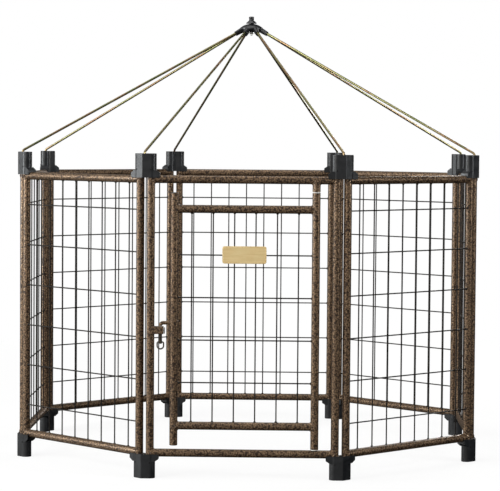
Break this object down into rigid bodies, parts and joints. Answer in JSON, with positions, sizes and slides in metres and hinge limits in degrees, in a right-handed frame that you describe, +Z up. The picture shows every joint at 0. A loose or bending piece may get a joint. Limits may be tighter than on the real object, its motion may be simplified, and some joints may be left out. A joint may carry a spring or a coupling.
{
  "type": "pet playpen",
  "caption": "Octagonal tube-framed wire mesh pet playpen with a hinged gate, a drop latch and a rod roof frame that meets at a hub with a finial.",
  "frame": {"origin": "on the floor, at the pen's vertical axis", "axes": "+Z up; the gate panel faces -Y; +X is to the right when looking at the gate from outside"},
  "size_m": [1.5454, 1.5454, 1.5],
  "materials": {
    "hammertone_steel": "bronze hammertone powder coat",
    "mesh_wire": "dark bronze powder coat",
    "black_plastic": "satin moulded black",
    "plated_rod": "yellow zinc passivated",
    "zinc_steel": "bright zinc",
    "white_nylon": "satin",
    "dark_screw": "black oxide",
    "brass_plate": "brushed, lacquered",
    "bronze_latch": "bronze hammertone powder coat"
  },
  "bodies": {
    "pen": {"back_left_connector": "black_plastic", "back_left_foot": "black_plastic", "back_left_mesh": "mesh_wire", "back_left_panel_frame": "hammertone_steel", "back_mesh": "mesh_wire", "back_panel_frame": "hammertone_steel", "back_right_connector": "black_plastic", "back_right_foot": "black_plastic", "back_right_mesh": "mesh_wire", "back_right_panel_frame": "hammertone_steel", "corner_screws": "dark_screw", "front_left_connector": "black_plastic", "front_left_foot": "black_plastic", "front_left_mesh": "mesh_wire", "front_left_panel_frame": "hammertone_steel", "front_right_connector": "black_plastic", "front_right_foot": "black_plastic", "front_right_mesh": "mesh_wire", "front_right_panel_frame": "hammertone_steel", "gate_side_panel_frame": "hammertone_steel", "latch_bracket": "hammertone_steel", "left_back_connector": "black_plastic", "left_back_foot": "black_plastic", "left_front_connector": "black_plastic", "left_front_foot": "black_plastic", "left_mesh": "mesh_wire", "left_panel_frame": "hammertone_steel", "lower_hinge_pin": "zinc_steel", "right_back_connector": "black_plastic", "right_back_foot": "black_plastic", "right_front_connector": "black_plastic", "right_front_foot": "black_plastic", "right_mesh": "mesh_wire", "right_panel_frame": "hammertone_steel", "upper_hinge_pin": "zinc_steel"},
    "roof_frame": {"back_left_roof_rod": "plated_rod", "back_right_roof_rod": "plated_rod", "front_left_roof_rod": "plated_rod", "front_right_roof_rod": "plated_rod", "left_back_roof_rod": "plated_rod", "left_front_roof_rod": "plated_rod", "right_back_roof_rod": "plated_rod", "right_front_roof_rod": "plated_rod", "roof_hub": "black_plastic", "hub_stud": "zinc_steel", "hub_washer": "zinc_steel", "hub_nut": "zinc_steel"},
    "clamp_cone": {"clamp_cone": "black_plastic"},
    "finial_knob": {"finial_knob": "black_plastic"},
    "gate": {"gate_leaf_frame": "hammertone_steel", "gate_mesh": "mesh_wire", "gate_end_caps": "black_plastic", "hinge_bushes": "white_nylon", "latch_collar": "hammertone_steel", "latch_arm": "hammertone_steel", "nameplate": "brass_plate", "nameplate_clips": "zinc_steel"},
    "latch_bolt": {"latch_bolt": "bronze_latch", "latch_tab": "bronze_latch"},
    "pull_ring": {"pull_ring": "bronze_latch"}
  },
  "joints": [
    {"name": "gate_swing", "type": "hinge", "parent": "pen", "child": "gate", "pos_m": [0.2279, -0.75444, 0], "axis": [0, 0, 1], "range_deg": [-130, 150]},
    {"name": "latch_bolt_lift", "type": "slide", "parent": "pen", "child": "latch_bolt", "axis": [0, 0, 1], "range_m": [0, 0.0085]},
    {"name": "pull_ring_swing", "type": "hinge", "parent": "latch_bolt", "child": "pull_ring", "pos_m": [-0.2605, -0.75444, 0.4315], "axis": [1, 0, 0], "range_deg": [-90, 90]},
    {"name": "roof_frame_lift", "type": "slide", "parent": "pen", "child": "roof_frame", "axis": [0, 0, 1], "range_m": [0, 0.055]},
    {"name": "clamp_cone_lift", "type": "slide", "parent": "roof_frame", "child": "clamp_cone", "axis": [0, 0, 1], "range_m": [0, 0.004]},
    {"name": "finial_knob_turn", "type": "hinge", "parent": "clamp_cone", "child": "finial_knob", "pos_m": [0, 0, 1.49], "axis": [0, 0, 1], "range_deg": [0, 1441]}
  ],
  "couplings": [
    {"joint": "finial_knob_turn", "follows": "clamp_cone_lift", "rad_per_m": 6283.2}
  ]
}
